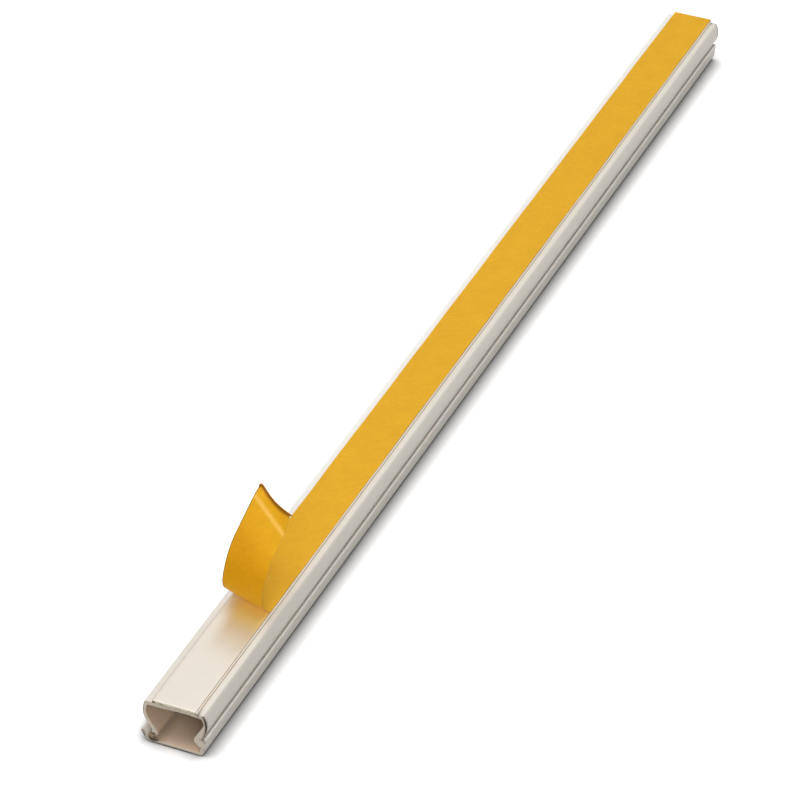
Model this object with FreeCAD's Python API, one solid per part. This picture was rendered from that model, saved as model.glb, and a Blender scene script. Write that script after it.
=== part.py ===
"""Stick-on cord cover raceway: one extruded PVC channel with a foam tape and its peeled liner.

Millimetres, +Z up. The piece lies on the flat face of its cover, with its adhesive back up.
The origin is on that face, at the middle of the length and of the width. X runs across the
section, with the cord entry on the -X side, and Y runs along the length, with the peeled end
at -Y.
"""
import FreeCAD, Part
import math
import os

from FreeCAD import Vector

# Whole section
length = 400.0
height = 14.1
half_width = 9.55

# Back web, which carries the tape
back_thickness = 1.2
back_edge_radius = 0.65
back_inner_radius = 0.6

# Side walls: each swells out in an arc, then slants in below it
wall = 1.0
swell_radius = 6.8
swell_height = 10.7
swell_top_angle = 14.0
entry_slant = 33.0
hinge_slant = 31.0

# Foot of the entry wall, a bead that keeps cords in
foot_clearance = 2.9
foot_inner_x = -5.35
foot_width = 2.1
foot_rise = 1.8
foot_radius = 0.45

# Hinge side: a thick knuckle behind an outer groove, from which the cover turns in
knuckle_wall = 1.8
knuckle_underside_z = 5.0
knuckle_underside_angle = 46.0
knuckle_radius = 1.5
hinge_inner_radius = 2.5
groove_mouth_z = 6.2
groove_mouth_x = 9.03
groove_face_angle = 18.0
groove_root_radius = 0.15

# Cover, the face that shows once the raceway is stuck on a wall
cover_thickness = 1.0
cover_side_thickness = 1.25
cover_side_lean = 7.0
cover_corner_radius = 2.0
cover_inner_radius = 0.8

# Lip, the cover's flared free edge
lip_reach = 10.5
lip_height = 3.5
lip_angle = 60.0
lip_bend_radius = 3.2
lip_tip_radius = 0.25

# Foam tape and its paper liner
tape_width = 13.4
tape_offset = 0.2
foam_thickness = 1.0
liner_thickness = 0.15

# Peeled tab: where it leaves the foam, and its run from there as lines and arcs
bare_foam_entry = 50.0
bare_foam_hinge = 46.0
lift_angle = 47.0
lift_run_entry = 8.5
lift_run_hinge = 6.6
loop_radius = 3.2
loop_turn = 60.0
lean_radius = 16.0
lean_turn = 53.0
tab_run_entry = 12.4
tab_run_hinge = 8.8
end_curl_radius = 5.0
end_curl_turn = 35.0


class Edge:
    """A straight construction line of the section, through a point in a direction."""

    def __init__(self, x, z, angle):
        self.x = x
        self.z = z
        self.angle = angle
        self.dx = math.cos(math.radians(angle))
        self.dz = math.sin(math.radians(angle))

    def inside(self, distance):
        """The parallel line on the right-hand side of this one's direction."""
        return Edge(self.x + distance * self.dz, self.z - distance * self.dx, self.angle)

    def meet(self, other):
        """The point where two lines cross."""
        cross = self.dx * other.dz - self.dz * other.dx
        along = ((other.x - self.x) * other.dz - (other.z - self.z) * other.dx) / cross
        return self.x + along * self.dx, self.z + along * self.dz


def tangent(side, angle):
    """The line that touches one side's swell where it leans by angle, up along the wall."""
    lean = math.radians(angle)
    x = side * (half_width - swell_radius + swell_radius * math.cos(lean))
    z = swell_height + swell_radius * math.sin(lean)
    return x, z


def rounded_face(corners):
    """A flat face in XZ from (point, radius) corners, each rounded by a tangent arc."""
    points = [Vector(point[0], 0, point[1]) for point, radius in corners]
    radii = [radius for point, radius in corners]
    ends = []
    for index, corner in enumerate(points):
        before = (points[index - 1] - corner).normalize()
        after = (points[(index + 1) % len(points)] - corner).normalize()
        half_angle = before.getAngle(after) / 2
        reach = radii[index] / math.tan(half_angle)
        middle = (before + after).normalize() * (radii[index] / math.sin(half_angle) - radii[index])
        ends.append((corner + before * reach, corner + middle, corner + after * reach))
    edges = []
    for index, (start, middle, end) in enumerate(ends):
        if radii[index] > 0:
            edges.append(Part.Arc(start, middle, end).toShape())
        following = ends[(index + 1) % len(ends)][0]
        edges.append(Part.LineSegment(end, following).toShape())
    return Part.Face(Part.Wire(edges))


def channel_section():
    """The whole section, outline drawn from the back, round the entry side to the hinge side."""
    back = Edge(0, height, 0)
    floor = Edge(0, 0, 0)

    entry_upper = Edge(*tangent(-1, swell_top_angle), 90 - swell_top_angle)
    entry_lower = Edge(*tangent(-1, -entry_slant), 90 + entry_slant)
    hinge_upper = Edge(*tangent(1, swell_top_angle), swell_top_angle - 90)
    hinge_lower = Edge(*tangent(1, -hinge_slant), -90 - hinge_slant)

    foot_bottom = Edge(0, foot_clearance, 0)
    foot_outer = foot_inner_x - foot_width
    foot_top = entry_lower.meet(Edge(0, foot_clearance + foot_rise, 0))

    groove_face = Edge(groove_mouth_x, groove_mouth_z, groove_face_angle)
    cover_side = Edge(groove_mouth_x, groove_mouth_z, -90 - cover_side_lean)
    knuckle = hinge_lower.inside(knuckle_wall)
    nose = knuckle.meet(Edge(0, knuckle_underside_z, 0))
    underside = Edge(*nose, -knuckle_underside_angle)

    lip = Edge(-lip_reach, lip_height, 180 - lip_angle)
    lip_end = Edge(-lip_reach, lip_height, 90 - lip_angle)
    lip_inner = lip.inside(cover_thickness)
    cover_inner = Edge(0, cover_thickness, 0)
    side_inner = cover_side.inside(cover_side_thickness)
    back_inner = back.inside(back_thickness)
    entry_swell_inner = entry_upper.inside(wall).meet(entry_lower.inside(wall))
    hinge_swell_inner = hinge_upper.inside(wall).meet(knuckle)

    return rounded_face([
        (back.meet(entry_upper), back_edge_radius),
        (entry_upper.meet(entry_lower), swell_radius),
        (foot_top, foot_radius),
        ((foot_outer, foot_clearance), foot_radius),
        ((foot_inner_x, foot_clearance), foot_radius),
        (Edge(foot_inner_x, 0, 90).meet(entry_lower.inside(wall)), 0),
        (entry_swell_inner, swell_radius - wall),
        (back_inner.meet(entry_upper.inside(wall)), back_inner_radius),
        (back_inner.meet(hinge_upper.inside(wall)), back_inner_radius),
        (hinge_swell_inner, hinge_inner_radius),
        (nose, knuckle_radius),
        (underside.meet(side_inner), cover_inner_radius / 2),
        (side_inner.meet(cover_inner), cover_inner_radius),
        (cover_inner.meet(lip_inner), lip_bend_radius - cover_thickness),
        (lip_inner.meet(lip_end), lip_tip_radius),
        ((-lip_reach, lip_height), lip_tip_radius),
        (lip.meet(floor), lip_bend_radius),
        (floor.meet(cover_side), cover_corner_radius),
        ((groove_mouth_x, groove_mouth_z), groove_root_radius),
        (groove_face.meet(hinge_lower), groove_root_radius),
        (hinge_lower.meet(hinge_upper), swell_radius),
        (hinge_upper.meet(back), back_edge_radius),
    ])


def raceway_channel():
    """The extrusion: its section drawn out to the whole length."""
    face = channel_section()
    face.translate(Vector(0, -length / 2, 0))
    return face.extrude(Vector(0, length, 0))


def foam_tape():
    """The foam strip on the back web, cut off flush with both ends."""
    return Part.makeBox(tape_width, length, foam_thickness,
                        Vector(tape_offset - tape_width / 2, -length / 2, height))


class Pen:
    """Draws lines and arcs one after another in the plane at x, heading from +Y towards +Z."""

    def __init__(self, x, y, z, heading, side):
        self.x = x
        self.y = y
        self.z = z
        self.heading = heading
        self.side = side

    def place(self):
        """The point that lies by side to the right of the pen."""
        right = math.radians(self.heading - 90)
        across = self.side * math.cos(right)
        above = self.side * math.sin(right)
        return Vector(self.x, self.y + across, self.z + above)

    def advance(self, run):
        self.y += run * math.cos(math.radians(self.heading))
        self.z += run * math.sin(math.radians(self.heading))

    def half_arc(self, radius, turn):
        """Moves the pen along the first half of an arc that turns by turn in all."""
        self.heading += turn / 4
        self.advance(2 * radius * math.sin(math.radians(abs(turn)) / 4))
        self.heading += turn / 4

    def line(self, run):
        start = self.place()
        self.advance(run)
        return Part.LineSegment(start, self.place()).toShape()

    def arc(self, radius, turn):
        start = self.place()
        self.half_arc(radius, turn)
        middle = self.place()
        self.half_arc(radius, turn)
        return Part.Arc(start, middle, self.place()).toShape()


def liner_edges(x, peel_y, lift_run, tab_run, side):
    """One long edge of the liner at one of its faces: laid flat, then lifted and leant back."""
    mitre = side * math.tan(math.radians(lift_angle) / 2)
    pen = Pen(x, peel_y, height + foam_thickness, 180 - lift_angle, side)
    pen.advance(mitre)
    far_end = Vector(x, length / 2, height + foam_thickness + side)
    return [
        Part.LineSegment(far_end, pen.place()).toShape(),
        pen.line(lift_run - mitre),
        pen.arc(loop_radius, -loop_turn),
        pen.arc(lean_radius, -lean_turn),
        pen.line(tab_run),
        pen.arc(end_curl_radius, end_curl_turn),
    ]


def liner_band(x, bare_foam, lift_run, tab_run):
    """The liner's outline along one long edge, closed across its thickness at both ends."""
    peel_y = bare_foam - length / 2
    release_face = liner_edges(x, peel_y, lift_run, tab_run, 0)
    printed_face = liner_edges(x, peel_y, lift_run, tab_run, liner_thickness)
    tab_end = Part.LineSegment(release_face[-1].lastVertex().Point,
                               printed_face[-1].lastVertex().Point).toShape()
    far_end = Part.LineSegment(printed_face[0].firstVertex().Point,
                               release_face[0].firstVertex().Point).toShape()
    return Part.Wire(release_face + [tab_end] + printed_face[::-1] + [far_end])


def release_liner():
    """The liner, stuck down from the peel line on and lifted in a leaning tab before it."""
    entry_edge = liner_band(tape_offset - tape_width / 2, bare_foam_entry,
                            lift_run_entry, tab_run_entry)
    hinge_edge = liner_band(tape_offset + tape_width / 2, bare_foam_hinge,
                            lift_run_hinge, tab_run_hinge)
    return Part.makeLoft([entry_edge, hinge_edge], True, True)


def main():
    os.makedirs("parts", exist_ok=True)
    pieces = {
        "raceway_channel": raceway_channel(),
        "foam_tape": foam_tape(),
        "release_liner": release_liner(),
    }
    for name, shape in pieces.items():
        shape.exportStep(f"parts/{name}.step")
        box = shape.BoundBox
        print(f"{name}: valid {shape.isValid()}, {len(shape.Solids)} solid, "
              f"{shape.Volume / 1000:.2f} cm3, "
              f"{box.XLength:.2f} x {box.YLength:.2f} x {box.ZLength:.2f} mm")


main()
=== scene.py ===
"""The looks of a stick-on cord cover raceway: channel, foam tape and peeled liner, on a stage.

Laid out as an add-on and run as a script. Every length is in metres, in the frame of the
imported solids: X across the section, Y along the length, Z up from the floor.
"""

import json
import math

import bmesh
import bpy
from mathutils import Matrix, Vector, noise
from mathutils.geometry import delaunay_2d_cdt


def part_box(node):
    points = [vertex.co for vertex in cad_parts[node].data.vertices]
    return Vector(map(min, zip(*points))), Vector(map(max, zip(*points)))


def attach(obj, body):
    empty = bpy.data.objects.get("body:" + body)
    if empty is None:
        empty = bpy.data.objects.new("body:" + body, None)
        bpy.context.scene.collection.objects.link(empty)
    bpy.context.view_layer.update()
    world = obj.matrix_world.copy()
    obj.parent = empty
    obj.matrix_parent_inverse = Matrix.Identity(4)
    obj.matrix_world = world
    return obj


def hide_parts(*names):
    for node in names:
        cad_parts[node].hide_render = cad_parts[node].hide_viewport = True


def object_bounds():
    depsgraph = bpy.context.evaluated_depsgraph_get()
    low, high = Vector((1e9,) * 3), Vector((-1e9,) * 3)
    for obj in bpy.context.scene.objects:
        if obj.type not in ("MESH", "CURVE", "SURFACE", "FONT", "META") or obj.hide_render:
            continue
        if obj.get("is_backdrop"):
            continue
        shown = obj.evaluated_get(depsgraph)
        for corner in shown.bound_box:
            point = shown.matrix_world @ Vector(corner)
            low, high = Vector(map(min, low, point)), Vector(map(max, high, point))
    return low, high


bl_info = {
    "name": "Cord Cover Raceway",
    "version": (1, 0, 0),
    "blender": (4, 5, 0),
    "location": "3D View > Sidebar > Raceway",
    "description": "Builds a cord cover raceway with its tape and its peeled liner",
    "category": "Mesh",
}

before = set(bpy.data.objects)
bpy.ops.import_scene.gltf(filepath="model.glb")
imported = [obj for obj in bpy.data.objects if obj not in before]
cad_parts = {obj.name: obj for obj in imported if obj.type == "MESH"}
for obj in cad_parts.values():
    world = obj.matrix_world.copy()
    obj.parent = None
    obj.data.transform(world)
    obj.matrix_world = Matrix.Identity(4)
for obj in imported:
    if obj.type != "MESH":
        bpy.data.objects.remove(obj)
CAD_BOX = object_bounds()
CHANNEL_LOW, CHANNEL_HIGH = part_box("raceway_channel")
TAPE_LOW, TAPE_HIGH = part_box("foam_tape")

MM = 0.001
TAPE_EDGES = (TAPE_LOW.x / MM, TAPE_HIGH.x / MM - 0.3)
ARC_STEP = math.radians(6)
SHARP = math.radians(32)

PVC_IOR = 1.53
PVC_RADII = (1.0, 0.8, 0.6)
FOAM_IOR = 1.4
PAPER_IOR = 1.45

# Name, place, size and power in watts of each lamp; all point to the origin
LAMPS = (
    ("key", (0.0, 0.1, 1.9), 1.6, 16.3),
    ("fill", (0.72, -1.62, 0.85), 1.2, 15),
)


def srgb(red, green, blue):
    """A colour given as screen values from 0 to 255, in the linear values that shaders take."""
    def linear(value):
        share = value / 255
        return share / 12.92 if share <= 0.04045 else ((share + 0.055) / 1.055) ** 2.4
    return linear(red), linear(green), linear(blue)


def number_property(name, description, default, **more):
    return bpy.props.FloatProperty(name=name, description=description, default=default, **more)


def size_property(name, description, millimetres):
    return number_property(name, description, millimetres * MM, unit="LENGTH", precision=5)


def angle_property(name, description, degrees):
    return number_property(name, description, math.radians(degrees), subtype="ANGLE")


def colour_property(name, description, default):
    return bpy.props.FloatVectorProperty(
        name=name, description=description, default=default, subtype="COLOR", min=0, max=1)


class ChannelSettings(bpy.types.PropertyGroup):
    """Sizes and colours of the extruded channel."""

    length: size_property("Length", "Between the cut ends", (CHANNEL_HIGH.y - CHANNEL_LOW.y) / MM)
    height: size_property("Height", "From the cover's face to the back", CHANNEL_HIGH.z / MM)
    half_width: size_property("Half width", "Centre to the swell of each wall", 9.55)
    back_thickness: size_property("Back", "Thickness of the back", 1.2)
    back_edge: size_property("Back edge", "Rounding of the back's long edges", 0.7)
    back_inner: size_property("Back inner", "Rounding under the back", 0.6)
    wall: size_property("Wall", "Thickness of the side walls", 1.0)
    swell_radius: size_property("Swell radius", "Arc of the side walls", 6.8)
    swell_height: size_property("Swell height", "Height of the widest place", 10.7)
    swell_top: angle_property("Swell top", "Lean of the entry wall at the back", 14)
    hinge_top: angle_property("Hinge top", "Lean of the hinge wall at the back", 26)
    entry_slant: angle_property("Entry slant", "Lean of the entry wall below its swell", 33)
    hinge_slant: angle_property("Hinge slant", "Lean of the hinge wall below its swell", 31)
    foot_clearance: size_property("Foot clearance", "Floor to the entry wall's foot", 2.9)
    foot_inner: size_property("Foot inner", "Centre to the foot's inner face", 5.35)
    foot_width: size_property("Foot width", "Width of the foot", 2.1)
    foot_rise: size_property("Foot rise", "Height of the foot", 1.8)
    foot_radius: size_property("Foot radius", "Rounding of the foot", 0.45)
    knuckle_wall: size_property("Knuckle wall", "Thickness behind the groove", 1.8)
    knuckle_height: size_property("Knuckle height", "Height of the knuckle's nose", 5.0)
    knuckle_slope: angle_property("Knuckle slope", "Fall of the face under the nose", 46)
    knuckle_radius: size_property("Knuckle radius", "Rounding of the nose", 1.5)
    hinge_inner: size_property("Hinge inner", "Rounding inside the hinge wall", 2.5)
    groove_height: size_property("Groove height", "Height of the groove's lower lip", 6.2)
    groove_reach: size_property("Groove reach", "Centre to the groove's lower lip", 9.03)
    groove_slope: angle_property("Groove slope", "Rise of the groove's lower face", 18)
    groove_root: size_property("Groove root", "Rounding in the groove", 0.15)
    cover: size_property("Cover", "Thickness of the cover", 1.0)
    cover_side: size_property("Cover side", "Thickness of its turned-up side", 1.25)
    cover_lean: angle_property("Cover lean", "Lean of its turned-up side", 7)
    cover_corner: size_property("Cover corner", "Rounding of the cover's long edge", 2.0)
    cover_inner: size_property("Cover inner", "Rounding inside that edge", 0.8)
    lip_reach: size_property("Lip reach", "Centre to the lip's tip", 10.5)
    lip_height: size_property("Lip height", "Height of the lip's tip", 3.5)
    lip_angle: angle_property("Lip angle", "Rise of the flared lip", 60)
    lip_bend: size_property("Lip bend", "Bend at the foot of the lip", 3.2)
    lip_tip: size_property("Lip tip", "Rounding of the lip's tip", 0.25)
    saw_bevel: size_property("Saw bevel", "Edge that the saw leaves worn", 0.1)
    saw_rough: size_property("Saw rough", "Unevenness of the sawn face", 0.07)
    outer_colour: colour_property("Outer", "PVC outside", srgb(229, 223, 212))
    # Inner is a copy of the PVC made darker and browner as painted shade
    shaded_inner_colour: colour_property("Inner", "PVC inside the channel", srgb(206, 182, 156))
    # Aired is painted light on the cover's floor by the ends
    floor_light_colour: colour_property("Aired", "Inside of the cover by its ends", srgb(244, 222, 198))
    # Sawn is darker than the outer PVC, partly as painted shade
    sawn_colour: colour_property("Sawn", "PVC where it was sawn", srgb(214, 203, 187))
    # Clean is the colour of the painted highlights on the back's entry side and the groove's rims
    highlight_colour: colour_property("Clean", "Where it stayed clean or is worn", srgb(252, 247, 240))
    # Dirt also serves as painted shade at the sawn ends and along the cover's bottom corner
    dirt_and_shade_colour: colour_property("Dirt", "Saw dirt in the corners", srgb(58, 46, 30))


class TapeSettings(bpy.types.PropertyGroup):
    """Sizes and colours of the foam tape."""

    width: size_property("Width", "Across the tape", TAPE_EDGES[1] - TAPE_EDGES[0])
    offset: size_property("Offset", "Centre of the tape", sum(TAPE_EDGES) / 2)
    thickness: size_property("Thickness", "Of the foam", (TAPE_HIGH.z - TAPE_LOW.z) / MM)
    hinge_flare: size_property("Hinge flare", "Slope of the hinge side's slit edge", 0.25)
    edge_wander: size_property("Edge wander", "How far the slit edges wander", 0.09)
    edge_round: size_property("Edge round", "Rounding of the long edges", 0.16)
    slump: size_property("Slump", "How far the sawn end sags", 0.2)
    foam_colour: colour_property("Foam", "Foam at the tape's sides", srgb(255, 246, 230))
    seam_colour: colour_property("Seam", "Glue lines along the tape's sides", srgb(138, 108, 76))
    cut_colour: colour_property("Cut foam", "Foam where it was sawn", srgb(228, 220, 194))
    grime_colour: colour_property("Grime", "Saw dirt on the foam", srgb(104, 92, 58))
    sticky_colour: colour_property("Sticky", "Bare sticky face", srgb(234, 226, 212))
    # Warm and Gold are painted light from the yellow liner on the sticky face
    liner_glow_colour: colour_property("Warm", "Sticky face near the liner", srgb(198, 171, 130))
    peel_glow_colour: colour_property("Gold", "Sticky face at the peel line", srgb(240, 212, 118))


class LinerSettings(bpy.types.PropertyGroup):
    """Sizes and colours of the release liner."""

    thickness: size_property("Thickness", "Of the paper", 0.15)
    bare_entry: size_property("Bare, entry side", "Foam left bare at the entry edge", 50.0)
    bare_hinge: size_property("Bare, hinge side", "Foam left bare at the hinge edge", 46.0)
    peel_radius: size_property("Peel radius", "Bend at the peel line", 1.5)
    lift_angle: angle_property("Lift angle", "Angle at which the tab leaves the foam", 47)
    lift_entry: size_property("Lift, entry side", "Straight lift at the entry edge", 7.7)
    lift_hinge: size_property("Lift, hinge side", "Straight lift at the hinge edge", 5.8)
    loop_radius: size_property("Loop radius", "Bend at the front of the loop", 4.6)
    loop_turn: angle_property("Loop turn", "Turn of that bend", 60)
    lean_radius: size_property("Lean radius", "Bend over the top", 14.4)
    lean_turn: angle_property("Lean turn", "Turn of that bend", 53)
    run_entry: size_property("Run, entry side", "Straight run at the entry edge", 12.9)
    run_hinge: size_property("Run, hinge side", "Straight run at the hinge edge", 6.2)
    crease_entry: angle_property("Crease, entry side", "Turn at the crease", -9)
    crease_hinge: angle_property("Crease, hinge side", "Turn at the crease", 25)
    crease_bend: size_property("Crease bend", "Length of paper in the crease", 0.8)
    end_entry: size_property("End, entry side", "From the crease to the rolled rim", 3.5)
    end_hinge: size_property("End, hinge side", "From the crease to the rolled rim", 4.7)
    end_hollow: size_property("End hollow", "How far the free edge is cut in", 1.26)
    rim_roll: size_property("Rim roll", "Length of the rolled rim", 0.95)
    rim_turn: angle_property("Rim turn", "Turn of the rolled rim", 100)
    tip_round: size_property("Tip round", "Rounding of the tab's tip", 1.6)
    dog_ear: size_property("Dog ear", "How far the rim's end sticks out", 1.4)
    ripple: size_property("Ripple", "Waves of the lifted paper", 0.2)
    bedding: size_property("Bedding", "Waves of the paper on the foam", 0.03)
    slip: size_property("Slip", "How far the slit edges wander", 0.12)
    top_colour: colour_property("Top", "Printed face", srgb(230, 171, 40))
    release_colour: colour_property("Release", "Coated face", srgb(220, 164, 22))
    # Deep is painted shade in the middle of the tab's coated face
    shaded_middle_colour: colour_property("Deep", "Coated face where the dye is deepest", srgb(206, 146, 6))
    # Gummed is painted light on the paper by the peel line
    peel_light_colour: colour_property("Gummed", "Paper by the peel line", srgb(255, 191, 54))
    # Crease is whitening along the crease with a painted highlight
    crease_whitening_and_highlight_colour: colour_property("Crease", "Coating where it is creased", srgb(255, 206, 112))
    # Rim is fraying paper at the free edge with a painted highlight
    frayed_highlight_colour: colour_property("Rim", "Frayed paper at the free edge", srgb(228, 180, 134))
    # Bent is a painted shadow under the rolled rim
    rim_shadow_colour: colour_property("Bent", "Coating cracked under the rim", srgb(140, 80, 12))
    stain_colour: colour_property("Stain", "Dirt on the slit edge", srgb(112, 88, 36))
    edge_colour: colour_property("Edge", "Cut edge of the paper", srgb(206, 156, 66))


class StageSettings(bpy.types.PropertyGroup):
    """Camera, floor and sky."""

    azimuth: angle_property("Azimuth", "Camera's turn round the piece", 23.706)
    elevation: angle_property("Elevation", "Camera's height as an angle", 35.636)
    distance: size_property("Distance", "Camera to the point it looks at", 1164.7)
    aim: bpy.props.FloatVectorProperty(
        name="Aim", description="Point on the floor that the camera looks at",
        default=(-9.57 * MM, -28.45 * MM, 0), subtype="TRANSLATION", unit="LENGTH")
    lens: number_property("Lens", "Focal length on a 36 mm sensor", 173.25, unit="CAMERA")
    floor_colour: colour_property("Floor", "Floor as light meets it", (0.2, 0.19, 0.175))
    seen_level: number_property("Seen floor", "Brightness of the floor to the camera", 1.36)
    # Contact is the reach of a painted contact shadow from ambient occlusion
    contact_shadow_reach: size_property("Contact", "Reach of the dark line at its foot", 6.5)
    sky_level: number_property(
        "Sky level", "Light from all round", 0.5, min=0, max=1, subtype="FACTOR")


class Socket:
    """One output of a shader node, which Python's arithmetic works on."""

    def __init__(self, tree, output):
        self.tree = tree
        self.output = output

    def math(self, operation, *values):
        return self.tree.node(
            "ShaderNodeMath", {"operation": operation}, dict(enumerate(values)))

    def __add__(self, other):
        return self.math("ADD", self, other)

    def __radd__(self, other):
        return self.math("ADD", other, self)

    def __sub__(self, other):
        return self.math("SUBTRACT", self, other)

    def __rsub__(self, other):
        return self.math("SUBTRACT", other, self)

    def __mul__(self, other):
        return self.math("MULTIPLY", self, other)

    def __rmul__(self, other):
        return self.math("MULTIPLY", other, self)

    def __pow__(self, other):
        return self.math("POWER", self, other)

    def __rpow__(self, other):
        return self.math("POWER", other, self)

    def __abs__(self):
        return self.math("ABSOLUTE", self)

    def clamped(self):
        return self.math("MINIMUM", self.math("MAXIMUM", self, 0), 1)


class Finish:
    """One material, built node by node round a Principled shader."""

    def __init__(self, name, shader):
        self.material = bpy.data.materials.new(name)
        self.material.use_nodes = True
        self.nodes = self.material.node_tree.nodes
        self.links = self.material.node_tree.links
        self.nodes.clear()
        self.surface = self.nodes.new("ShaderNodeBsdfPrincipled")
        output = self.nodes.new("ShaderNodeOutputMaterial")
        self.links.new(self.surface.outputs[0], output.inputs["Surface"])
        self.put(self.surface, shader)

    def put(self, node, inputs):
        """Gives sockets their links or values; a colour gets its alpha."""
        for key, value in inputs.items():
            socket = node.inputs[key]
            if isinstance(value, Socket):
                self.links.new(value.output, socket)
            elif isinstance(value, (int, float)):
                socket.default_value = value
            else:
                missing = len(socket.default_value) - len(value)
                socket.default_value = (*value, *[1] * missing)

    def node(self, kind, settings=None, inputs=None, output=0):
        """Any node: its settings first, then its sockets, and the output that is used."""
        node = self.nodes.new(kind)
        for key, value in (settings or {}).items():
            setattr(node, key, value)
        self.put(node, inputs or {})
        return Socket(self, node.outputs[output])

    def place(self, stretch=(1, 1, 1), turn=0):
        """Object coordinates, turned about Z and then scaled on each axis."""
        point = self.node("ShaderNodeTexCoord", output="Object")
        if turn:
            point = self.node("ShaderNodeVectorRotate", {"rotation_type": "Z_AXIS"}, {
                "Vector": point, "Angle": turn})
        return self.node("ShaderNodeVectorMath", {"operation": "MULTIPLY"}, {0: point, 1: stretch})

    def axis(self, name):
        point = self.node("ShaderNodeTexCoord", output="Object")
        return self.node("ShaderNodeSeparateXYZ", inputs={0: point}, output=name)

    def mark(self, name):
        """A value that the mesh carries at its points."""
        return self.node("ShaderNodeAttribute", {"attribute_name": name}, output="Fac")

    def grain(self, size, detail=3.0, rough=0.55, stretch=(1, 1, 1), turn=0):
        """Noise from 0 to 1 whose features are about size across."""
        return self.node("ShaderNodeTexNoise", {"noise_dimensions": "3D"}, {
            "Vector": self.place(stretch, turn), "Scale": 1 / size,
            "Detail": detail, "Roughness": rough}, "Fac")

    def ramp(self, value, low, high):
        """0 below low, 1 above high, and smooth between."""
        return self.node("ShaderNodeMapRange", {"interpolation_type": "SMOOTHSTEP"}, {
            "Value": value, "From Min": low, "From Max": high})

    def fall(self, value, low, high):
        """1 below low, 0 above high, and smooth between."""
        return 1 - self.ramp(value, low, high)

    def mix(self, share, first, second):
        """A colour between two colours."""
        return self.node("ShaderNodeMix", {"data_type": "RGBA"}, {
            "Factor": share, 6: first, 7: second}, 2)

    def tint(self, colour, share):
        """A colour made brighter or darker by a value about 1."""
        grey = self.node("ShaderNodeCombineColor", inputs={0: share, 1: share, 2: share})
        return self.node("ShaderNodeMix", {"data_type": "RGBA", "blend_type": "MULTIPLY"}, {
            "Factor": 1.0, 6: colour, 7: grey}, 2)

    def coat(self, colour, roughness):
        """The surface's own colour and roughness."""
        self.put(self.surface, {"Base Color": colour, "Roughness": roughness})

    def bump(self, height, depth):
        """Relief that is depth high where height goes from 0 to 1."""
        normal = self.node("ShaderNodeBump", inputs={
            "Height": height * depth, "Distance": 1.0, "Strength": 1.0})
        self.put(self.surface, {"Normal": normal})


def cloudy(share, depth, radii=(1.0, 1.0, 1.0)):
    """Shader values for a material that light enters to about that depth."""
    return {"Subsurface Weight": share, "Subsurface Scale": depth, "Subsurface Radius": radii}


def outside_paint(finish, sizes, peel_y):
    """The outer colour: a painted highlight on the entry side of the back past the peel line and on
    the groove's rims, and painted shade on the upper hinge wall, deepest towards the near end."""
    x, y, z = (finish.axis(name) for name in "XYZ")
    rim_width, groove_gap, wall_shade_reach = (0.2 * MM, 0.8 * MM), 1.4 * MM, 170 * MM
    # painted highlight: the entry side of the back made whiter past the peel line
    entry_highlight = (finish.ramp(x * -1, 5.5 * MM, 7.5 * MM)
            * finish.ramp(z, sizes.height - 2 * MM, sizes.height - 0.5 * MM)
            * finish.ramp(y, peel_y - 16 * MM, peel_y))
    lower_rim = ((x - sizes.groove_reach) ** 2 + (z - sizes.groove_height) ** 2) ** 0.5
    upper_rim = (abs(z - sizes.groove_height - groove_gap)
                 + finish.fall(x, 8 * MM, 8.2 * MM) * MM)
    # painted highlights along the groove's two rims
    worn = finish.fall(lower_rim, *rim_width) + finish.fall(upper_rim, *rim_width) * 0.6
    # painted shade on the upper hinge wall, deeper towards the near end
    wall = finish.ramp(x, 8.15 * MM, 8.6 * MM) * finish.ramp(z, 8.5 * MM, 13 * MM)
    wall_shade = 0.08 + finish.ramp(y * -1, 0, wall_shade_reach) * 0.11
    colour = finish.mix(entry_highlight, sizes.outer_colour, sizes.highlight_colour)
    colour = finish.mix(worn.clamped(), colour, sizes.highlight_colour)
    return finish.tint(colour, 1 - wall * wall_shade)


def inside_paint(finish, sizes, end):
    """The inner colour, a copy of the PVC darkened as painted shade: more painted shade in from the
    ends, none on the entry wall's inner face and twice as much on the floor under its foot, and a
    painted pool of light on the cover's open floor close to the ends."""
    x, y, z = (finish.axis(name) for name in "XYZ")
    from_end = end - abs(y)
    entry = finish.ramp(x * -1, 4.6 * MM, 5.5 * MM)
    raised = finish.ramp(z, 1.8 * MM, 2.8 * MM)
    open_floor = (1 - raised) * finish.fall(x * -1, 2.5 * MM, 5.5 * MM)
    # painted light: a paler pool on the cover's open floor by the ends
    floor_light = finish.fall(from_end, 0, 18 * MM) * open_floor
    # painted shade deepening in from the ends: none on the entry wall's inner face, twice as deep
    # under its foot
    depth_shade = 1 - entry * raised + entry * (1 - raised)
    colour = finish.mix(floor_light * 0.85, sizes.shaded_inner_colour, sizes.floor_light_colour)
    return finish.tint(colour, 1 - finish.ramp(from_end, 0.2 * MM, 6 * MM) * 0.15 * depth_shade)


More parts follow.
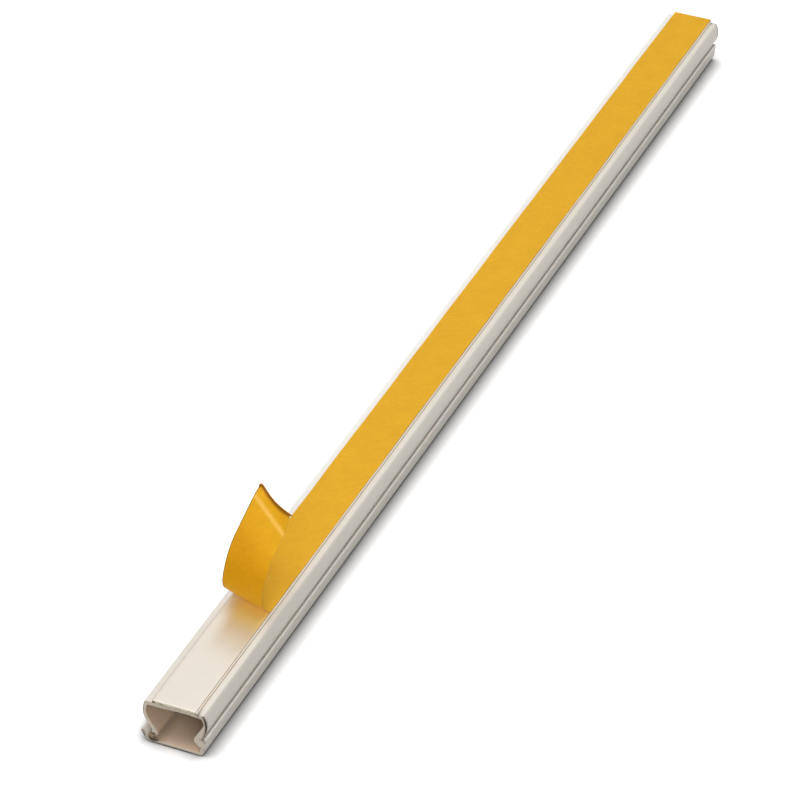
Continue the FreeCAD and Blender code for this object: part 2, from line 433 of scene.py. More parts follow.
def pvc_finish(name, sizes, colour_at, place):
    """Extruded PVC: satin, with draw lines along it, faint clouding, saw grime and painted shade at
    its ends, painted shade along the cover's bottom corner and a darker line along the groove.
    """
    finish = Finish(name, {"IOR": PVC_IOR, **cloudy(0.35, 0.8 * MM, PVC_RADII)})
    draw_lines = finish.grain(0.35 * MM, 4, 0.6, (1, 0.02, 1))
    clouding = finish.grain(9 * MM, 3, 0.5, (1, 0.35, 1))
    scuffs = finish.grain(1.4 * MM, 5, 0.65, (1, 0.3, 1))
    specks = finish.ramp(finish.grain(0.45 * MM, 4, 0.7), 0.4, 0.6)
    # saw grime and painted shade, carried by the mesh
    dirt_and_shade = (finish.mark("dirt_and_shade") * (0.45 + specks * 0.75)).clamped()
    shade = 0.95 + clouding * 0.06 + draw_lines * 0.04
    colour = finish.tint(colour_at(finish, sizes, place), shade)
    finish.coat(finish.mix(dirt_and_shade, colour, sizes.dirt_and_shade_colour),
                0.26 + scuffs * 0.16 + draw_lines * 0.08 + dirt_and_shade * 0.2)
    finish.bump(draw_lines * 0.7 + scuffs * 0.3, 0.012 * MM)
    return finish.material


def sawn_finish(sizes):
    """The cut face: matt, scored across by the saw, dirty and with painted shade in places, in a
    colour darker than the outer PVC partly as painted shade.
    """
    finish = Finish("sawn_pvc", {
        "IOR": PVC_IOR, "Specular IOR Level": 0.3, **cloudy(0.1, 0.3 * MM, PVC_RADII)})
    teeth = finish.grain(0.16 * MM, 3, 0.6, (1, 1, 0.12))
    smear = finish.ramp(finish.grain(0.9 * MM, 4, 0.7), 0.56, 0.76) * 0.35
    specks = finish.ramp(finish.grain(0.3 * MM, 4, 0.7), 0.35, 0.6)
    dirt_and_shade = (finish.mark("dirt_and_shade") * (0.5 + specks * 0.7) + smear).clamped()
    colour = finish.tint(sizes.sawn_colour, 0.9 + teeth * 0.16)
    finish.coat(finish.mix(dirt_and_shade, colour, sizes.dirt_and_shade_colour), 0.5 + teeth * 0.25)
    finish.bump(teeth, 0.05 * MM)
    return finish.material


def foam_finish(sizes, low):
    """The tape's sides: closed foam cells, matt, with a glue line at the top and the bottom."""
    finish = Finish("foam_cells", {"IOR": FOAM_IOR})
    cells = finish.node("ShaderNodeTexVoronoi", {"feature": "F1"}, {
        "Vector": finish.place(), "Scale": 1 / (0.22 * MM)}, "Distance")
    patches = finish.grain(3 * MM)
    height = finish.axis("Z") - low + (patches - 0.5) * 0.16 * MM
    top = sizes.thickness
    seams = (finish.fall(height, 0.2 * MM, 0.42 * MM)
             + finish.ramp(height, top - 0.24 * MM, top - 0.1 * MM))
    colour = finish.mix((seams * 0.75).clamped(), sizes.foam_colour, sizes.seam_colour)
    finish.coat(finish.tint(colour, 0.86 + cells * 0.12 + patches * 0.12), 0.75 + cells * 0.15)
    finish.bump(cells, 0.06 * MM)
    return finish.material


def cut_foam_finish(sizes, low):
    """The foam's sawn end: torn cells, smeared with saw grime, darker towards the bottom and greyer
    towards its corners.
    """
    finish = Finish("cut_foam", {"IOR": FOAM_IOR})
    cells = finish.grain(0.25 * MM, 4, 0.65)
    smudge = finish.ramp(finish.grain(1.5 * MM, 4, 0.65, (1, 1, 1.8)), 0.44, 0.66)
    lower = finish.fall(finish.axis("Z") - low, 0.1 * MM, sizes.thickness)
    corner = finish.ramp(abs(finish.axis("X") - sizes.offset),
                         sizes.width / 2 - 0.9 * MM, sizes.width / 2)
    dirt_and_shade = (smudge * (0.3 + lower * 0.4) + lower * 0.12
            + corner * finish.ramp(cells, 0.35, 0.55) * 0.8).clamped()
    colour = finish.tint(sizes.cut_colour, 0.84 + cells * 0.3)
    finish.coat(finish.mix(dirt_and_shade, colour, sizes.grime_colour), 0.75 + cells * 0.2)
    finish.bump(cells, 0.12 * MM)
    return finish.material


def sticky_finish(sizes, liner, length):
    """The bare adhesive: glossy over fine dimples, with painted light from the yellow liner, amber
    and golden, close to the lifted liner.
    """
    finish = Finish("sticky_face", {
        "IOR": 1.5, "Coat Weight": 0.35, "Coat Roughness": 0.16, "Coat IOR": 1.5})
    dimples = finish.grain(0.5 * MM, 3, 0.6)
    clouds = finish.grain(7 * MM, 3, 0.5)
    across = finish.axis("X") - sizes.offset
    peel_skew = (liner.bare_entry - liner.bare_hinge) / sizes.width
    peel_middle = (liner.bare_entry + liner.bare_hinge) / 2 - length / 2
    from_peel = (across * -peel_skew + peel_middle - finish.axis("Y")
                 + (clouds - 0.5) * 2 * MM)
    inland = finish.ramp(across + sizes.width / 2, 0.4 * MM, 6 * MM)
    # painted light from the yellow liner: amber over a wide band and golden at the peel line,
    # brightened against the tab's shadow
    liner_glow = finish.fall(from_peel, 5 * MM, 28 * MM) * inland
    peel_glow = finish.fall(from_peel, 1 * MM, 12.5 * MM) * (0.3 + inland * 0.7)
    colour = finish.tint(sizes.sticky_colour, 0.96 + clouds * 0.06)
    colour = finish.mix(liner_glow, colour, sizes.liner_glow_colour)
    finish.coat(finish.mix(peel_glow, colour, sizes.peel_glow_colour), 0.24 + dimples * 0.16)
    finish.bump(dimples, 0.02 * MM)
    return finish.material


def paper_finish(name, sizes, colour, stain_and_shade):
    """One face of the liner: coated paper with mottled dye, fibres and slight cockling; painted
    shade in the middle of the coated face and under the rolled rim, painted light by the peel line,
    and a whitened crease and a fraying rim that carry painted highlights.
    """
    finish = Finish(name, {
        "IOR": PAPER_IOR, "Specular IOR Level": 0.12, "Coat Weight": 0.04,
        "Coat Roughness": 0.4, "Coat IOR": 1.4, **cloudy(0.55, 0.35 * MM)})
    clouds = finish.grain(6 * MM, 3, 0.55)
    mottle = finish.grain(1.1 * MM, 4, 0.65)
    ripples = finish.grain(0.9 * MM, 3, 0.5, (1, 0.16, 1), math.radians(52))
    fibres = finish.grain(0.25 * MM, 4, 0.7, (1, 0.5, 1))
    cockle = finish.grain(3 * MM, 2, 0.5)
    from_crease, tab_middle = finish.mark("from_crease"), 19 * MM
    shade = 0.7 + clouds * 0.16 + mottle * 0.2 + ripples * 0.14 + fibres * 0.12
    # painted shade in the middle of the tab's coated face
    middle = finish.fall(abs(from_crease + tab_middle), 4 * MM, 14 * MM)
    paper = finish.tint(finish.mix(middle * stain_and_shade, colour, sizes.shaded_middle_colour), shade)
    # crease whitening with a painted highlight over it
    crease = finish.fall(abs(from_crease + 0.4 * MM), 0, 1.5 * MM) * (0.1 + mottle * 0.75)
    paper = finish.mix(crease.clamped(), paper, sizes.crease_whitening_and_highlight_colour)
    # painted light on the paper by the peel line, against the tab's shadow
    peel_light = finish.fall(abs(finish.mark("from_peel")), 2 * MM, 16 * MM)
    paper = finish.mix(peel_light * 0.85, paper, sizes.peel_light_colour)
    from_entry = finish.mark("from_entry") + (fibres - 0.5) * 0.12 * MM
    stain = finish.fall(from_entry, 0.14 * MM, 0.32 * MM)
    paper = finish.mix(stain * stain_and_shade, paper, sizes.stain_colour)
    from_edge = finish.mark("from_edge") + (mottle - 0.5) * 0.4 * MM
    # painted shadow under the rolled rim
    rim_shadow = finish.fall(from_edge, 0.7 * MM, 1.9 * MM)
    paper = finish.mix(rim_shadow * 0.85, paper, sizes.rim_shadow_colour)
    # fraying paper at the free edge with a painted highlight
    frayed_highlight = finish.fall(from_edge, 0.2 * MM, 0.36 * MM)
    paper = finish.mix(frayed_highlight * 0.85, paper, sizes.frayed_highlight_colour)
    finish.coat(paper, 0.5 + fibres * 0.14 + mottle * 0.08)
    finish.bump(cockle * 0.85 + fibres * 0.15, 0.05 * MM)
    return finish.material


def edge_finish(sizes):
    """The liner's cut edge, where the paper's brown core shows."""
    finish = Finish("liner_edge", {"IOR": PAPER_IOR})
    fibres = finish.grain(0.1 * MM, 3, 0.6)
    finish.coat(finish.tint(sizes.edge_colour, 0.8 + fibres * 0.4), 0.8)
    finish.bump(fibres, 0.02 * MM)
    return finish.material


class Edge:
    """A straight construction line of the section, through a point in a direction."""

    def __init__(self, x, z, angle):
        self.point = Vector((x, z))
        self.angle = angle
        self.run = Vector((math.cos(angle), math.sin(angle)))

    def inside(self, distance):
        """The parallel line on the right-hand side of this one's direction."""
        x, z = self.point + distance * Vector((self.run.y, -self.run.x))
        return Edge(x, z, self.angle)

    def meet(self, other):
        """The point where two lines cross."""
        gap = other.point - self.point
        cross = self.run.x * other.run.y - self.run.y * other.run.x
        return self.point + self.run * ((gap.x * other.run.y - gap.y * other.run.x) / cross)


def rounded_corner(before, corner, after):
    """Points on the arc that rounds the middle one of three (corner, radius) pairs."""
    middle, radius = Vector(corner[0]), corner[1]
    if radius == 0:
        return [middle]
    to_before = (Vector(before[0]) - middle).normalized()
    to_after = (Vector(after[0]) - middle).normalized()
    half_angle = to_before.angle(to_after) / 2
    centre = middle + (to_before + to_after).normalized() * (radius / math.sin(half_angle))
    start = middle + to_before * (radius / math.tan(half_angle)) - centre
    end = middle + to_after * (radius / math.tan(half_angle)) - centre
    turn = math.atan2(start.x * end.y - start.y * end.x, start.dot(end))
    steps = max(2, math.ceil(abs(turn) / ARC_STEP))
    return [centre + Matrix.Rotation(turn * step / steps, 2) @ start for step in range(steps + 1)]


def rounded_outline(corners):
    """Points round a closed outline of (corner, radius), each with the number of its corner."""
    points = []
    for index, corner in enumerate(corners):
        arc = rounded_corner(corners[index - 1], corner, corners[(index + 1) % len(corners)])
        points += [(point, index) for point in arc]
    return points


def wall_line(sizes, side, lean):
    """The line that touches a side wall's swell where it leans in by lean: up along the entry
    wall, down along the hinge wall."""
    x = side * (sizes.half_width - sizes.swell_radius * (1 - math.cos(lean)))
    z = sizes.swell_height + sizes.swell_radius * math.sin(lean)
    return Edge(x, z, side * (lean - math.pi / 2))


def channel_corners(sizes):
    """The section's outer and inner corners with their roundings, as two lists."""
    quarter = math.pi / 2
    back = Edge(0, sizes.height, 0)
    floor = Edge(0, 0, 0)
    entry_upper = wall_line(sizes, -1, sizes.swell_top)
    entry_lower = wall_line(sizes, -1, -sizes.entry_slant)
    hinge_upper = wall_line(sizes, 1, sizes.hinge_top)
    hinge_lower = wall_line(sizes, 1, -sizes.hinge_slant)
    foot_top = entry_lower.meet(Edge(0, sizes.foot_clearance + sizes.foot_rise, 0))
    foot_inner = Edge(-sizes.foot_inner, 0, quarter)
    groove_lip = (sizes.groove_reach, sizes.groove_height)
    groove_face = Edge(*groove_lip, sizes.groove_slope)
    cover_side = Edge(*groove_lip, -quarter - sizes.cover_lean)
    knuckle = hinge_lower.inside(sizes.knuckle_wall)
    nose = knuckle.meet(Edge(0, sizes.knuckle_height, 0))
    under_nose = Edge(*nose, -sizes.knuckle_slope)
    lip = Edge(-sizes.lip_reach, sizes.lip_height, 2 * quarter - sizes.lip_angle)
    lip_end = Edge(-sizes.lip_reach, sizes.lip_height, quarter - sizes.lip_angle)
    lip_inner = lip.inside(sizes.cover)
    cover_inner = Edge(0, sizes.cover, 0)
    side_inner = cover_side.inside(sizes.cover_side)
    back_inner = back.inside(sizes.back_thickness)
    upper_inner, lower_inner, hinge_inner = (
        line.inside(sizes.wall) for line in (entry_upper, entry_lower, hinge_upper))
    inside = [
        ((-sizes.foot_inner, sizes.foot_clearance), sizes.foot_radius),
        (foot_inner.meet(lower_inner), 0),
        (upper_inner.meet(lower_inner), sizes.swell_radius - sizes.wall),
        (back_inner.meet(upper_inner), sizes.back_inner),
        (back_inner.meet(hinge_inner), sizes.back_inner),
        (hinge_inner.meet(knuckle), sizes.hinge_inner),
        (nose, sizes.knuckle_radius),
        (under_nose.meet(side_inner), sizes.cover_inner / 2),
        (side_inner.meet(cover_inner), sizes.cover_inner),
        (cover_inner.meet(lip_inner), sizes.lip_bend - sizes.cover),
    ]
    outside = [
        (lip_inner.meet(lip_end), sizes.lip_tip),
        ((-sizes.lip_reach, sizes.lip_height), sizes.lip_tip),
        (lip.meet(floor), sizes.lip_bend),
        (floor.meet(cover_side), sizes.cover_corner),
        (groove_lip, sizes.groove_root),
        (groove_face.meet(hinge_lower), sizes.groove_root),
        (hinge_lower.meet(hinge_upper), sizes.swell_radius),
        (hinge_upper.meet(back), sizes.back_edge),
        (back.meet(entry_upper), sizes.back_edge),
        (entry_upper.meet(entry_lower), sizes.swell_radius),
        (foot_top, sizes.foot_radius),
        ((-sizes.foot_inner - sizes.foot_width, sizes.foot_clearance), sizes.foot_radius),
    ]
    return inside, outside


def wander(place, seed, size):
    """A smooth value from about -1 to 1 that changes over lengths of about size."""
    return noise.noise(Vector((place / size, seed, 0.37 * seed)))


def layer(shape, name):
    """A value that the mesh will carry at its points for a material to read."""
    return shape.verts.layers.float.new(name)


def add_object(name, data):
    """Puts a new object with its mesh, lamp or camera into the scene."""
    item = bpy.data.objects.new(name, data)
    bpy.context.scene.collection.objects.link(item)
    return item


def add_mesh(name, shape, materials):
    """Makes the shape into an object with its materials."""
    mesh = bpy.data.meshes.new(name)
    shape.to_mesh(mesh)
    shape.free()
    for material in materials:
        mesh.materials.append(material)
    return add_object(name, mesh)


def finish_mesh(name, shape, materials):
    """Makes the shape into a piece that rides on the root body, smooth but for sharp edges."""
    bmesh.ops.recalc_face_normals(shape, faces=shape.faces)
    piece = add_mesh(name, shape, materials)
    piece.data.shade_smooth()
    piece.data.set_sharp_from_angle(angle=SHARP)
    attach(piece, "root")
    return piece


def stations(low, high, step):
    """Even places from low to high, about step apart."""
    count = max(1, round((high - low) / step))
    return [low + (high - low) * index / count for index in range(count + 1)]


def band(shape, first, second, material, closed=False):
    """Quads between two equal rows of vertices."""
    count = len(first)
    for index in range(count if closed else count - 1):
        following = (index + 1) % count
        face = shape.faces.new((first[index], first[following], second[following], second[index]))
        face.material_index = material[index] if isinstance(material, list) else material


def inset_outline(points, distance):
    """The outline moved inwards, for one that runs anticlockwise."""
    moved = []
    for index, point in enumerate(points):
        before, after = points[index - 1], points[(index + 1) % len(points)]
        run = (after - before).normalized()
        moved.append(point + distance * Vector((-run.y, run.x)))
    return moved


def sawn_face(shape, ring, outline, end_y, rough, add):
    """Closes the end of the channel with a face that the saw left a little uneven."""
    step, dirt_and_shade_depth, across, along = 0.2 * MM, 0.1 * MM, 0.5 * MM, 1.6 * MM
    low_x, high_x = min(p.x for p in outline), max(p.x for p in outline)
    low_z, high_z = min(p.y for p in outline), max(p.y for p in outline)
    grid = [Vector((x, z)) for x in stations(low_x, high_x, step)
            for z in stations(low_z, high_z, step)]
    loop = list(range(len(outline)))
    points, _, faces, origins, _, _ = delaunay_2d_cdt(outline + grid, [], [loop], 1, 1e-7)
    corners = []
    for point, origin in zip(points, origins):
        rim = [index for index in origin if index < len(outline)]
        if rim:
            corners.append(ring[rim[0]])
            continue
        lift = noise.noise(Vector((point.x / across, end_y, point.y / along)))
        inward = -math.copysign(rough * (0.5 + 0.5 * lift), end_y)
        corners.append(add(point.x, end_y + inward, point.y, dirt_and_shade_depth))
    for face in faces:
        shape.faces.new([corners[index] for index in face]).material_index = 2
    bmesh.ops.delete(shape, geom=[v for v in shape.verts if not v.link_faces], context="VERTS")


def spread(points, step):
    """The same outline with points added on its straight runs, and the faces' kinds with it."""
    dense = []
    for index, (point, kind) in enumerate(points):
        following, next_kind = points[(index + 1) % len(points)]
        pieces = max(1, math.ceil((following - point).length / step))
        dense += [(point.lerp(following, part / pieces), kind, next_kind)
                  for part in range(pieces)]
    return dense


def dirt_and_shade_map(sizes):
    """Gives a function for how much saw grime and painted shade a point of the section takes, at a
    depth in from the sawn end."""
    top, side = sizes.height / MM, sizes.half_width / MM
    radius, swell_z = sizes.swell_radius / MM, sizes.swell_height / MM
    underside = top - sizes.back_thickness / MM
    rim, crumbs, tape_end, slot, edge, whole = 0.28, 1.1, 1.4, 2.5, 7, math.inf
    # strength, centre in x and z, reach in x and z, and fade, with lengths in millimetres
    stains_and_shade = (
        (1.6, -side - 0.1, 10.6, 0.3, 4.5, rim),  # outside of the entry wall
        (2.2, 0, 0, 11, 0.36, rim),  # the cover's face
        (1.8, -9.9, 1.8, 0.8, 1.5, rim),  # lip
        (0.9, 8.3, 5.9, 1.0, 0.5, rim),  # groove
        (1.2, 7.4, 2.8, 0.3, 0.3, rim),  # spots on the cover's side
        (1.1, 8.9, 4.8, 0.3, 0.3, rim),
        (0.6, 8.6, 2.0, 0.3, 1.1, rim),
        (0.8, 8.9, 1.0, 0.7, 0.9, rim),  # painted shade at the cover's bottom corner
        (2, 3.5, underside + 0.12, 5, 0.3, rim),  # painted shade under the back's cut edge
        (0.36, 0, top, 7, 0.6, rim),  # glue from the tape
        (3, -6.9, 3.0, 0.9, 0.5, rim),  # foot
        (3, -6.7, 1.8, 1.2, 1.1, crumbs),  # saw crumbs and painted shade in the slot
        (1.4, 7.2, top, 0.35, 0.3, tape_end),
        # painted shade deeper in the slot
        (0.8, -7.0, 1.5, 1.5, 1.5, slot),
        (0.5, 9.2, 14.0, 0.25, 0.35, edge),  # the back's long edge
        (0.6, 7.9, 5.9, 0.5, 0.4, whole),  # darker along the whole groove
        (0.25, 8.9, 0.4, 1.0, 0.4, whole),  # painted shade along the cover's bottom corner
    )

    def spread_out(strength, at_x, at_z, reach_x, reach_z, fade, x, z, depth):
        return strength * math.exp(
            -((x - at_x) / reach_x) ** 2 - ((z - at_z) / reach_z) ** 2 - depth / fade)

    def dirt_and_shade_at(x, z, depth):
        point = x / MM, z / MM, depth / MM
        marks = [spread_out(*stain, *point) for stain in stains_and_shade]
        if x > 0:
            # a thin dark line along the outer edge of the hinge wall's cut end
            from_centre = math.hypot(point[0] - side + radius, point[1] - swell_z)
            edge_line = 4 * math.exp(-((from_centre - radius + 0.1) / 0.32) ** 2)
            marks.append(spread_out(edge_line, side, 11.2, 3, 3.1, rim, *point))
        return max(marks)

    return dirt_and_shade_at


def build_channel(sizes, liner):
    """The extruded channel, worn at its sawn edges and never quite straight."""
    point_gap, ring_gap, end_zone = 0.6 * MM, 4 * MM, 3 * MM
    inside, outside = channel_corners(sizes)
    marked = spread(rounded_outline(inside + outside), point_gap)
    outline = [point for point, _, _ in marked]
    sides = [int(max(kind, following) < len(inside)) for _, kind, following in marked]
    worn = inset_outline(outline, sizes.saw_bevel)
    end = sizes.length / 2
    shape = bmesh.new()
    dirt_and_shade = layer(shape, "dirt_and_shade")
    dirt_and_shade_at = dirt_and_shade_map(sizes)

    def add(x, y, z, depth):
        vert = shape.verts.new((x, y, z))
        vert[dirt_and_shade] = dirt_and_shade_at(x, z, depth)
        return vert

    def ring(points, y):
        return [add(point.x, y, point.y, end - abs(y)) for point in points]

    near_end = [sizes.saw_bevel, 0.3 * MM, 0.7 * MM, 1.4 * MM]
    places = ([-end + gap for gap in near_end]
              + stations(-end + end_zone, end - end_zone, ring_gap)
              + [end - gap for gap in reversed(near_end)])
    rings = [ring(worn, -end)] + [ring(outline, y) for y in places] + [ring(worn, end)]
    for index, (first, second) in enumerate(zip(rings, rings[1:])):
        at_end = index in (0, len(rings) - 2)
        band(shape, first, second, 2 if at_end else sides, closed=True)
    for row, end_y in ((rings[0], -end), (rings[-1], end)):
        sawn_face(shape, row, worn, end_y, sizes.saw_rough, add)
    piece = finish_mesh("channel", shape, [
        pvc_finish("pvc_outside", sizes, outside_paint, liner.bare_entry - end),
        pvc_finish("pvc_inside", sizes, inside_paint, end),
        sawn_finish(sizes),
    ])
    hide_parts("raceway_channel")


def build_tape(sizes, liner, channel):
    """The foam strip on the back: slit edges that wander, and a tacky top."""
    column_gap, row_gap, slump_reach = 1.2 * MM, 1.5 * MM, 0.16 * MM
    low = channel.height
    high = low + sizes.thickness
    end = channel.length / 2
    half = sizes.width / 2
    bevel, flare = sizes.edge_round, sizes.hinge_flare
    cut = 0.3 * bevel
    waist = low + 0.35 * sizes.thickness
    # x, z and 1 for a point on the sticky face
    profile = ([(-half, low, 0), (-half, waist, 0), (-half, high - bevel, 0),
                (-half + cut, high - cut, 0)]
               + [(x, high, 1) for x in stations(-half + bevel, half - bevel, column_gap)]
               + [(half - cut, high - cut, 0), (half, high - bevel, 0),
                  (half + 0.6 * flare, waist, 0), (half + flare, low, 0)])
    shape = bmesh.new()
    rows = []
    near_end, end_zone = [0, 0.12 * MM, 0.35 * MM, 0.8 * MM], 1.6 * MM
    for y in [gap - end for gap in near_end] + stations(-end + end_zone, end, row_gap):
        row = []
        slump = math.exp(-(y + end) / slump_reach) * sizes.slump * (
            1 + 0.6 * wander(y, 19, 3 * MM))
        for x, z, _ in profile:
            side = math.copysign(1, x)
            edge = abs(x) / half
            slit = sizes.edge_wander * edge ** 8 * (
                wander(y, 3 + side, 22 * MM) + 0.4 * wander(y, 7 + side, 2.5 * MM))
            upper = z > low + 0.5 * sizes.thickness
            sag = slump * (1 + 0.6 * wander(x, 23, 1.4 * MM)) if upper else 0
            row.append(shape.verts.new((sizes.offset + x + slit, y, z - sag)))
        rows.append(row)
    kinds = [first[2] * second[2] for first, second in zip(profile, profile[1:])]
    for first, second in zip(rows, rows[1:]):
        band(shape, first, second, kinds)
        shape.faces.new((first[0], second[0], second[-1], first[-1])).material_index = 0
    for row in (rows[0], rows[-1]):
        shape.faces.new(row).material_index = 2
    piece = finish_mesh("tape", shape, [
        foam_finish(sizes, low), sticky_finish(sizes, liner, channel.length),
        cut_foam_finish(sizes, low)])
    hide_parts("foam_tape")


class Pen:
    """Runs along one line of the liner, in a plane across X, and notes where it goes."""

    def __init__(self, y, z, heading):
        self.place = Vector((y, z))
        self.heading = heading
        self.length = 0
        self.trail = [(self.place.copy(), heading, 0)]

    def run(self, length, turn=0, steps=1):
        """Goes length further while it turns evenly by turn."""
        for _ in range(steps):
            self.heading += turn / steps / 2
            self.place += length / steps * Vector((math.cos(self.heading), math.sin(self.heading)))
            self.heading += turn / steps / 2
            self.length += length / steps
            self.trail.append((self.place.copy(), self.heading, self.length))

    def arc(self, radius, turn, steps):
        self.run(radius * abs(turn), turn, steps)


def liner_line(sizes, share, width, base, end):
    """The liner's line at one share of its width, from the far end to the tab's free edge,
    with the lengths of paper from its start to the peel line and to the crease."""
    def between(first, second):
        return first + (second - first) * share

    mitre = sizes.peel_radius * math.tan(sizes.lift_angle / 2)
    peel_y = between(sizes.bare_entry, sizes.bare_hinge) - end
    pen = Pen(end, base, math.pi)
    pen.run(end - peel_y - mitre, steps=180)
    to_peel = pen.length
    pen.arc(sizes.peel_radius, -sizes.lift_angle, 8)
    pen.run(between(sizes.lift_entry, sizes.lift_hinge) - mitre, steps=8)
    pen.arc(sizes.loop_radius, -sizes.loop_turn, 12)
    pen.arc(sizes.lean_radius, -sizes.lean_turn, 22)
    pen.run(between(sizes.run_entry, sizes.run_hinge), steps=14)
    to_crease = pen.length + sizes.crease_bend / 2
    pen.run(sizes.crease_bend, between(sizes.crease_entry, sizes.crease_hinge), 5)
    from_tip = min(1, share * width / sizes.tip_round)
    rounded = sizes.tip_round * (1 - math.sqrt(1 - (1 - from_tip) ** 2))
    hollow = 4 * sizes.end_hollow * share * (1 - share)
    pen.run(between(sizes.end_entry, sizes.end_hinge) - hollow - rounded, steps=8)
    pen.run(sizes.rim_roll, sizes.rim_turn, 8)
    return pen, to_peel, to_crease


def build_liner(sizes, tape, channel):
    """The release liner: stuck down, then peeled into a tab that leans back over itself."""
    slip_wave, ripple_across, ripple_along = 16 * MM, 7 * MM, 9 * MM
    end = channel.length / 2
    base = channel.height + tape.thickness
    near_edges = [0.008, 0.016, 0.028, 0.06, 0.972, 0.984, 0.992]
    shares = sorted(stations(0, 1, 1 / 24) + near_edges)
    lines = [liner_line(sizes, share, tape.width, base, end) for share in shares]
    shape = bmesh.new()
    marks = [layer(shape, name) for name in ("from_peel", "from_crease", "from_edge", "from_entry")]
    release, printed = [], []
    for row in range(len(lines[0][0].trail)):
        lower, upper = [], []
        for share, (pen, to_peel, to_crease) in zip(shares, lines):
            place, heading, run = pen.trail[row]
            right = Vector((math.sin(heading), -math.cos(heading)))
            outward = 2 * share - 1
            slip = sizes.slip * abs(outward) ** 6 * wander(run, 11 + outward, slip_wave)
            left = pen.length - run
            ear = max(0, outward) ** 10 * max(0, 1 - left / sizes.rim_roll) * sizes.dog_ear
            x = tape.offset + outward * tape.width / 2 + slip + ear
            ear_sag = 0.55 * ear
            place = place - Vector((0, ear_sag))
            lifted = place.y > base + MM
            ripple = noise.noise(Vector((x / ripple_across, run / ripple_along, 2.5)))
            foot = place + right * (
                sizes.ripple * ripple if lifted else sizes.bedding * (1 + ripple))
            values = run - to_peel, run - to_crease, left, share * tape.width
            for face, point in ((lower, foot), (upper, foot + right * sizes.thickness)):
                vert = shape.verts.new((x, point.x, point.y))
                for mark, value in zip(marks, values):
                    vert[mark] = value
                face.append(vert)
        release.append(lower)
        printed.append(upper)
    for face, material in ((release, 1), (printed, 0)):
        for first, second in zip(face, face[1:]):
            band(shape, first, second, material)
    for column in (0, -1):
        band(shape, [row[column] for row in release], [row[column] for row in printed], 2)
    for row in (0, -1):
        band(shape, release[row], printed[row], 2)
    piece = finish_mesh("liner", shape, [
        paper_finish("liner_top", sizes, sizes.top_colour, 0),
        paper_finish("liner_release", sizes, sizes.release_colour, 0.85),
        edge_finish(sizes),
    ])
    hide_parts("release_liner")


def point_at(item, place, direction):
    """Puts a lamp or camera at place and turns it to look in a direction."""
    item.location = place
    item.rotation_euler = direction.to_track_quat("-Z", "Y").to_euler()


def area_lamp(name, place, size, power):
    """A square soft lamp at place that points to the origin."""
    lamp = bpy.data.lights.new(name, "AREA")
    lamp.size = size
    lamp.energy = power
    point_at(add_object(name, lamp), place, -Vector(place))


def floor_finish(settings):
    """A pale matt floor that looks white, with the lamps' shadow on it and a painted contact shadow
    from ambient occlusion at the object's foot.
    """
    finish = Finish("stage_floor", {"Specular IOR Level": 0.1})
    speckle = finish.grain(30 * MM, 2, 0.5)
    rays = [finish.node("ShaderNodeLightPath", output=f"Is {kind} Ray")
            for kind in ("Camera", "Glossy", "Transmission")]
    seen = (rays[0] + rays[1] + rays[2]).clamped()
    colour = finish.mix(seen, settings.floor_colour, (settings.seen_level,) * 3)
    # painted contact shadow: the floor darkened by ambient occlusion near the object
    contact_shadow = finish.node("ShaderNodeAmbientOcclusion", {"samples": 12}, {
        "Distance": settings.contact_shadow_reach}, "AO")
    shade = (contact_shadow * 1.22 - 0.22).clamped() * (0.99 + speckle * 0.02)
    finish.coat(finish.tint(colour, shade), 0.9)
    return finish.material


def build_stage(settings):
    """Floor, lamps, sky and the camera at the photograph's angle."""
    shape = bmesh.new()
    bmesh.ops.create_grid(shape, x_segments=4, y_segments=4, size=6)
    floor = add_mesh("floor", shape, [floor_finish(settings)])
    floor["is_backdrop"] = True

    for lamp in LAMPS:
        area_lamp(*lamp)

    world = bpy.data.worlds.new("studio")
    bpy.context.scene.world = world
    world.use_nodes = True
    sky = world.node_tree.nodes["Background"]
    sky.inputs["Color"].default_value = (1, 1, 1, 1)
    sky.inputs["Strength"].default_value = settings.sky_level

    camera = bpy.data.cameras.new("camera")
    camera.lens = settings.lens
    camera.sensor_width = 36
    camera.clip_start = 0.01
    camera.clip_end = 50
    level = math.cos(settings.elevation)
    direction = Vector((math.sin(settings.azimuth) * level, -math.cos(settings.azimuth) * level,
                        math.sin(settings.elevation)))
    holder = add_object("camera", camera)
    point_at(holder, Vector(settings.aim) + settings.distance * direction, -direction)
    bpy.context.scene.camera = holder
    bpy.context.scene.view_settings.view_transform = "Standard"


class RACEWAY_OT_channel(bpy.types.Operator):
    """Build the extruded channel"""

    bl_idname = "raceway.channel"
    bl_label = "Build Channel"

    def execute(self, context):
        build_channel(context.scene.raceway_channel, context.scene.raceway_liner)
        return {"FINISHED"}


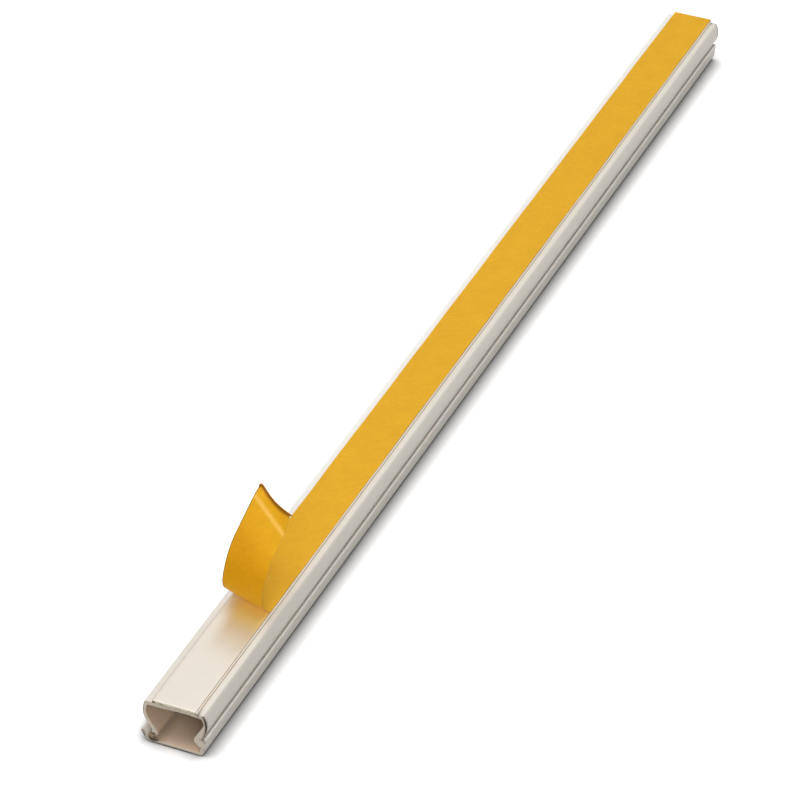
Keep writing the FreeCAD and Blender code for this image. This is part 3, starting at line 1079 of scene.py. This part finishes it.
class RACEWAY_OT_tape(bpy.types.Operator):
    """Build the foam tape on the channel's back"""

    bl_idname = "raceway.tape"
    bl_label = "Build Foam Tape"

    def execute(self, context):
        scene = context.scene
        build_tape(scene.raceway_tape, scene.raceway_liner, scene.raceway_channel)
        return {"FINISHED"}


class RACEWAY_OT_liner(bpy.types.Operator):
    """Build the release liner with its peeled tab"""

    bl_idname = "raceway.liner"
    bl_label = "Build Release Liner"

    def execute(self, context):
        scene = context.scene
        build_liner(scene.raceway_liner, scene.raceway_tape, scene.raceway_channel)
        return {"FINISHED"}


class RACEWAY_OT_stage(bpy.types.Operator):
    """Set up the floor, the lamps and the camera"""

    bl_idname = "raceway.stage"
    bl_label = "Set Up Stage"

    def execute(self, context):
        build_stage(context.scene.raceway_stage)
        return {"FINISHED"}


class RACEWAY_PT_pieces(bpy.types.Panel):
    """The pieces, each with its button and its settings"""

    bl_label = "Cord Cover Raceway"
    bl_idname = "RACEWAY_PT_pieces"
    bl_space_type = "VIEW_3D"
    bl_region_type = "UI"
    bl_category = "Raceway"

    def draw(self, context):
        for group, settings, operator in PIECES:
            box = self.layout.box()
            box.operator(operator.bl_idname)
            for name in settings.__annotations__:
                box.prop(getattr(context.scene, group), name)


PIECES = (
    ("raceway_channel", ChannelSettings, RACEWAY_OT_channel),
    ("raceway_tape", TapeSettings, RACEWAY_OT_tape),
    ("raceway_liner", LinerSettings, RACEWAY_OT_liner),
    ("raceway_stage", StageSettings, RACEWAY_OT_stage),
)


def register():
    for group, settings, operator in PIECES:
        bpy.utils.register_class(settings)
        bpy.utils.register_class(operator)
        setattr(bpy.types.Scene, group, bpy.props.PointerProperty(type=settings))
    bpy.utils.register_class(RACEWAY_PT_pieces)


def unregister():
    bpy.utils.unregister_class(RACEWAY_PT_pieces)
    for group, settings, operator in reversed(PIECES):
        delattr(bpy.types.Scene, group)
        bpy.utils.unregister_class(operator)
        bpy.utils.unregister_class(settings)


def main():
    register()
    bpy.ops.raceway.channel()
    bpy.ops.raceway.tape()
    bpy.ops.raceway.liner()
    bpy.ops.raceway.stage()
    boxes = {"cad": CAD_BOX, "visual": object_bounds()}
    json.dumps(
        {name: [list(corner) for corner in box] for name, box in boxes.items()})


if __name__ == "__main__":
    main()
